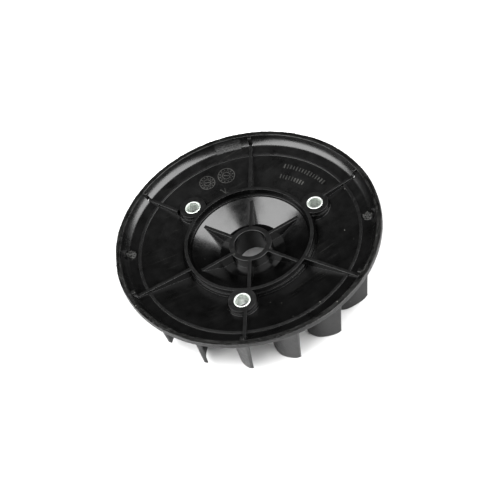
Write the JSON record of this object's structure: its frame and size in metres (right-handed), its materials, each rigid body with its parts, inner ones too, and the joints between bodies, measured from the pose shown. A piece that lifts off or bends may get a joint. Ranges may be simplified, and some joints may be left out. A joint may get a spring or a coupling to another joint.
{
  "type": "flywheel cooling fan wheel",
  "caption": "Dished plastic fan wheel with curved vanes, ribs and a central hub bore, screwed through steel sleeves onto a small engine's flywheel to blow cooling air.",
  "frame": {"origin": "on the crankshaft axis, in the plane of the vane tips", "axes": "+Z along the crankshaft axis towards the dished side that faces the flywheel; +X along one of the six ribs"},
  "size_m": [0.13, 0.13, 0.0372],
  "materials": {
    "moulded_plastic": "satin black glass-filled polypropylene, moulded",
    "sleeve_steel": "bright zinc-plated steel"
  },
  "bodies": {
    "root": {"rim": "moulded_plastic", "dish_floor": "moulded_plastic", "circular_ridge": "moulded_plastic", "locating_ring": "moulded_plastic", "hub_cone": "moulded_plastic", "hub_boss": "moulded_plastic", "screw_boss_1": "moulded_plastic", "screw_boss_2": "moulded_plastic", "screw_boss_3": "moulded_plastic", "outer_rib_1": "moulded_plastic", "outer_rib_2": "moulded_plastic", "outer_rib_3": "moulded_plastic", "outer_rib_4": "moulded_plastic", "outer_rib_5": "moulded_plastic", "outer_rib_6": "moulded_plastic", "inner_rib_1": "moulded_plastic", "inner_rib_2": "moulded_plastic", "inner_rib_3": "moulded_plastic", "inner_rib_4": "moulded_plastic", "inner_rib_5": "moulded_plastic", "inner_rib_6": "moulded_plastic", "vane_01": "moulded_plastic", "vane_02": "moulded_plastic", "vane_03": "moulded_plastic", "vane_04": "moulded_plastic", "vane_05": "moulded_plastic", "vane_06": "moulded_plastic", "vane_07": "moulded_plastic", "vane_08": "moulded_plastic", "vane_09": "moulded_plastic", "vane_10": "moulded_plastic", "vane_11": "moulded_plastic", "vane_12": "moulded_plastic", "vane_13": "moulded_plastic", "vane_14": "moulded_plastic", "vane_15": "moulded_plastic", "vane_16": "moulded_plastic", "screw_sleeve_1": "sleeve_steel", "screw_sleeve_2": "sleeve_steel", "screw_sleeve_3": "sleeve_steel"}
  },
  "joints": []
}
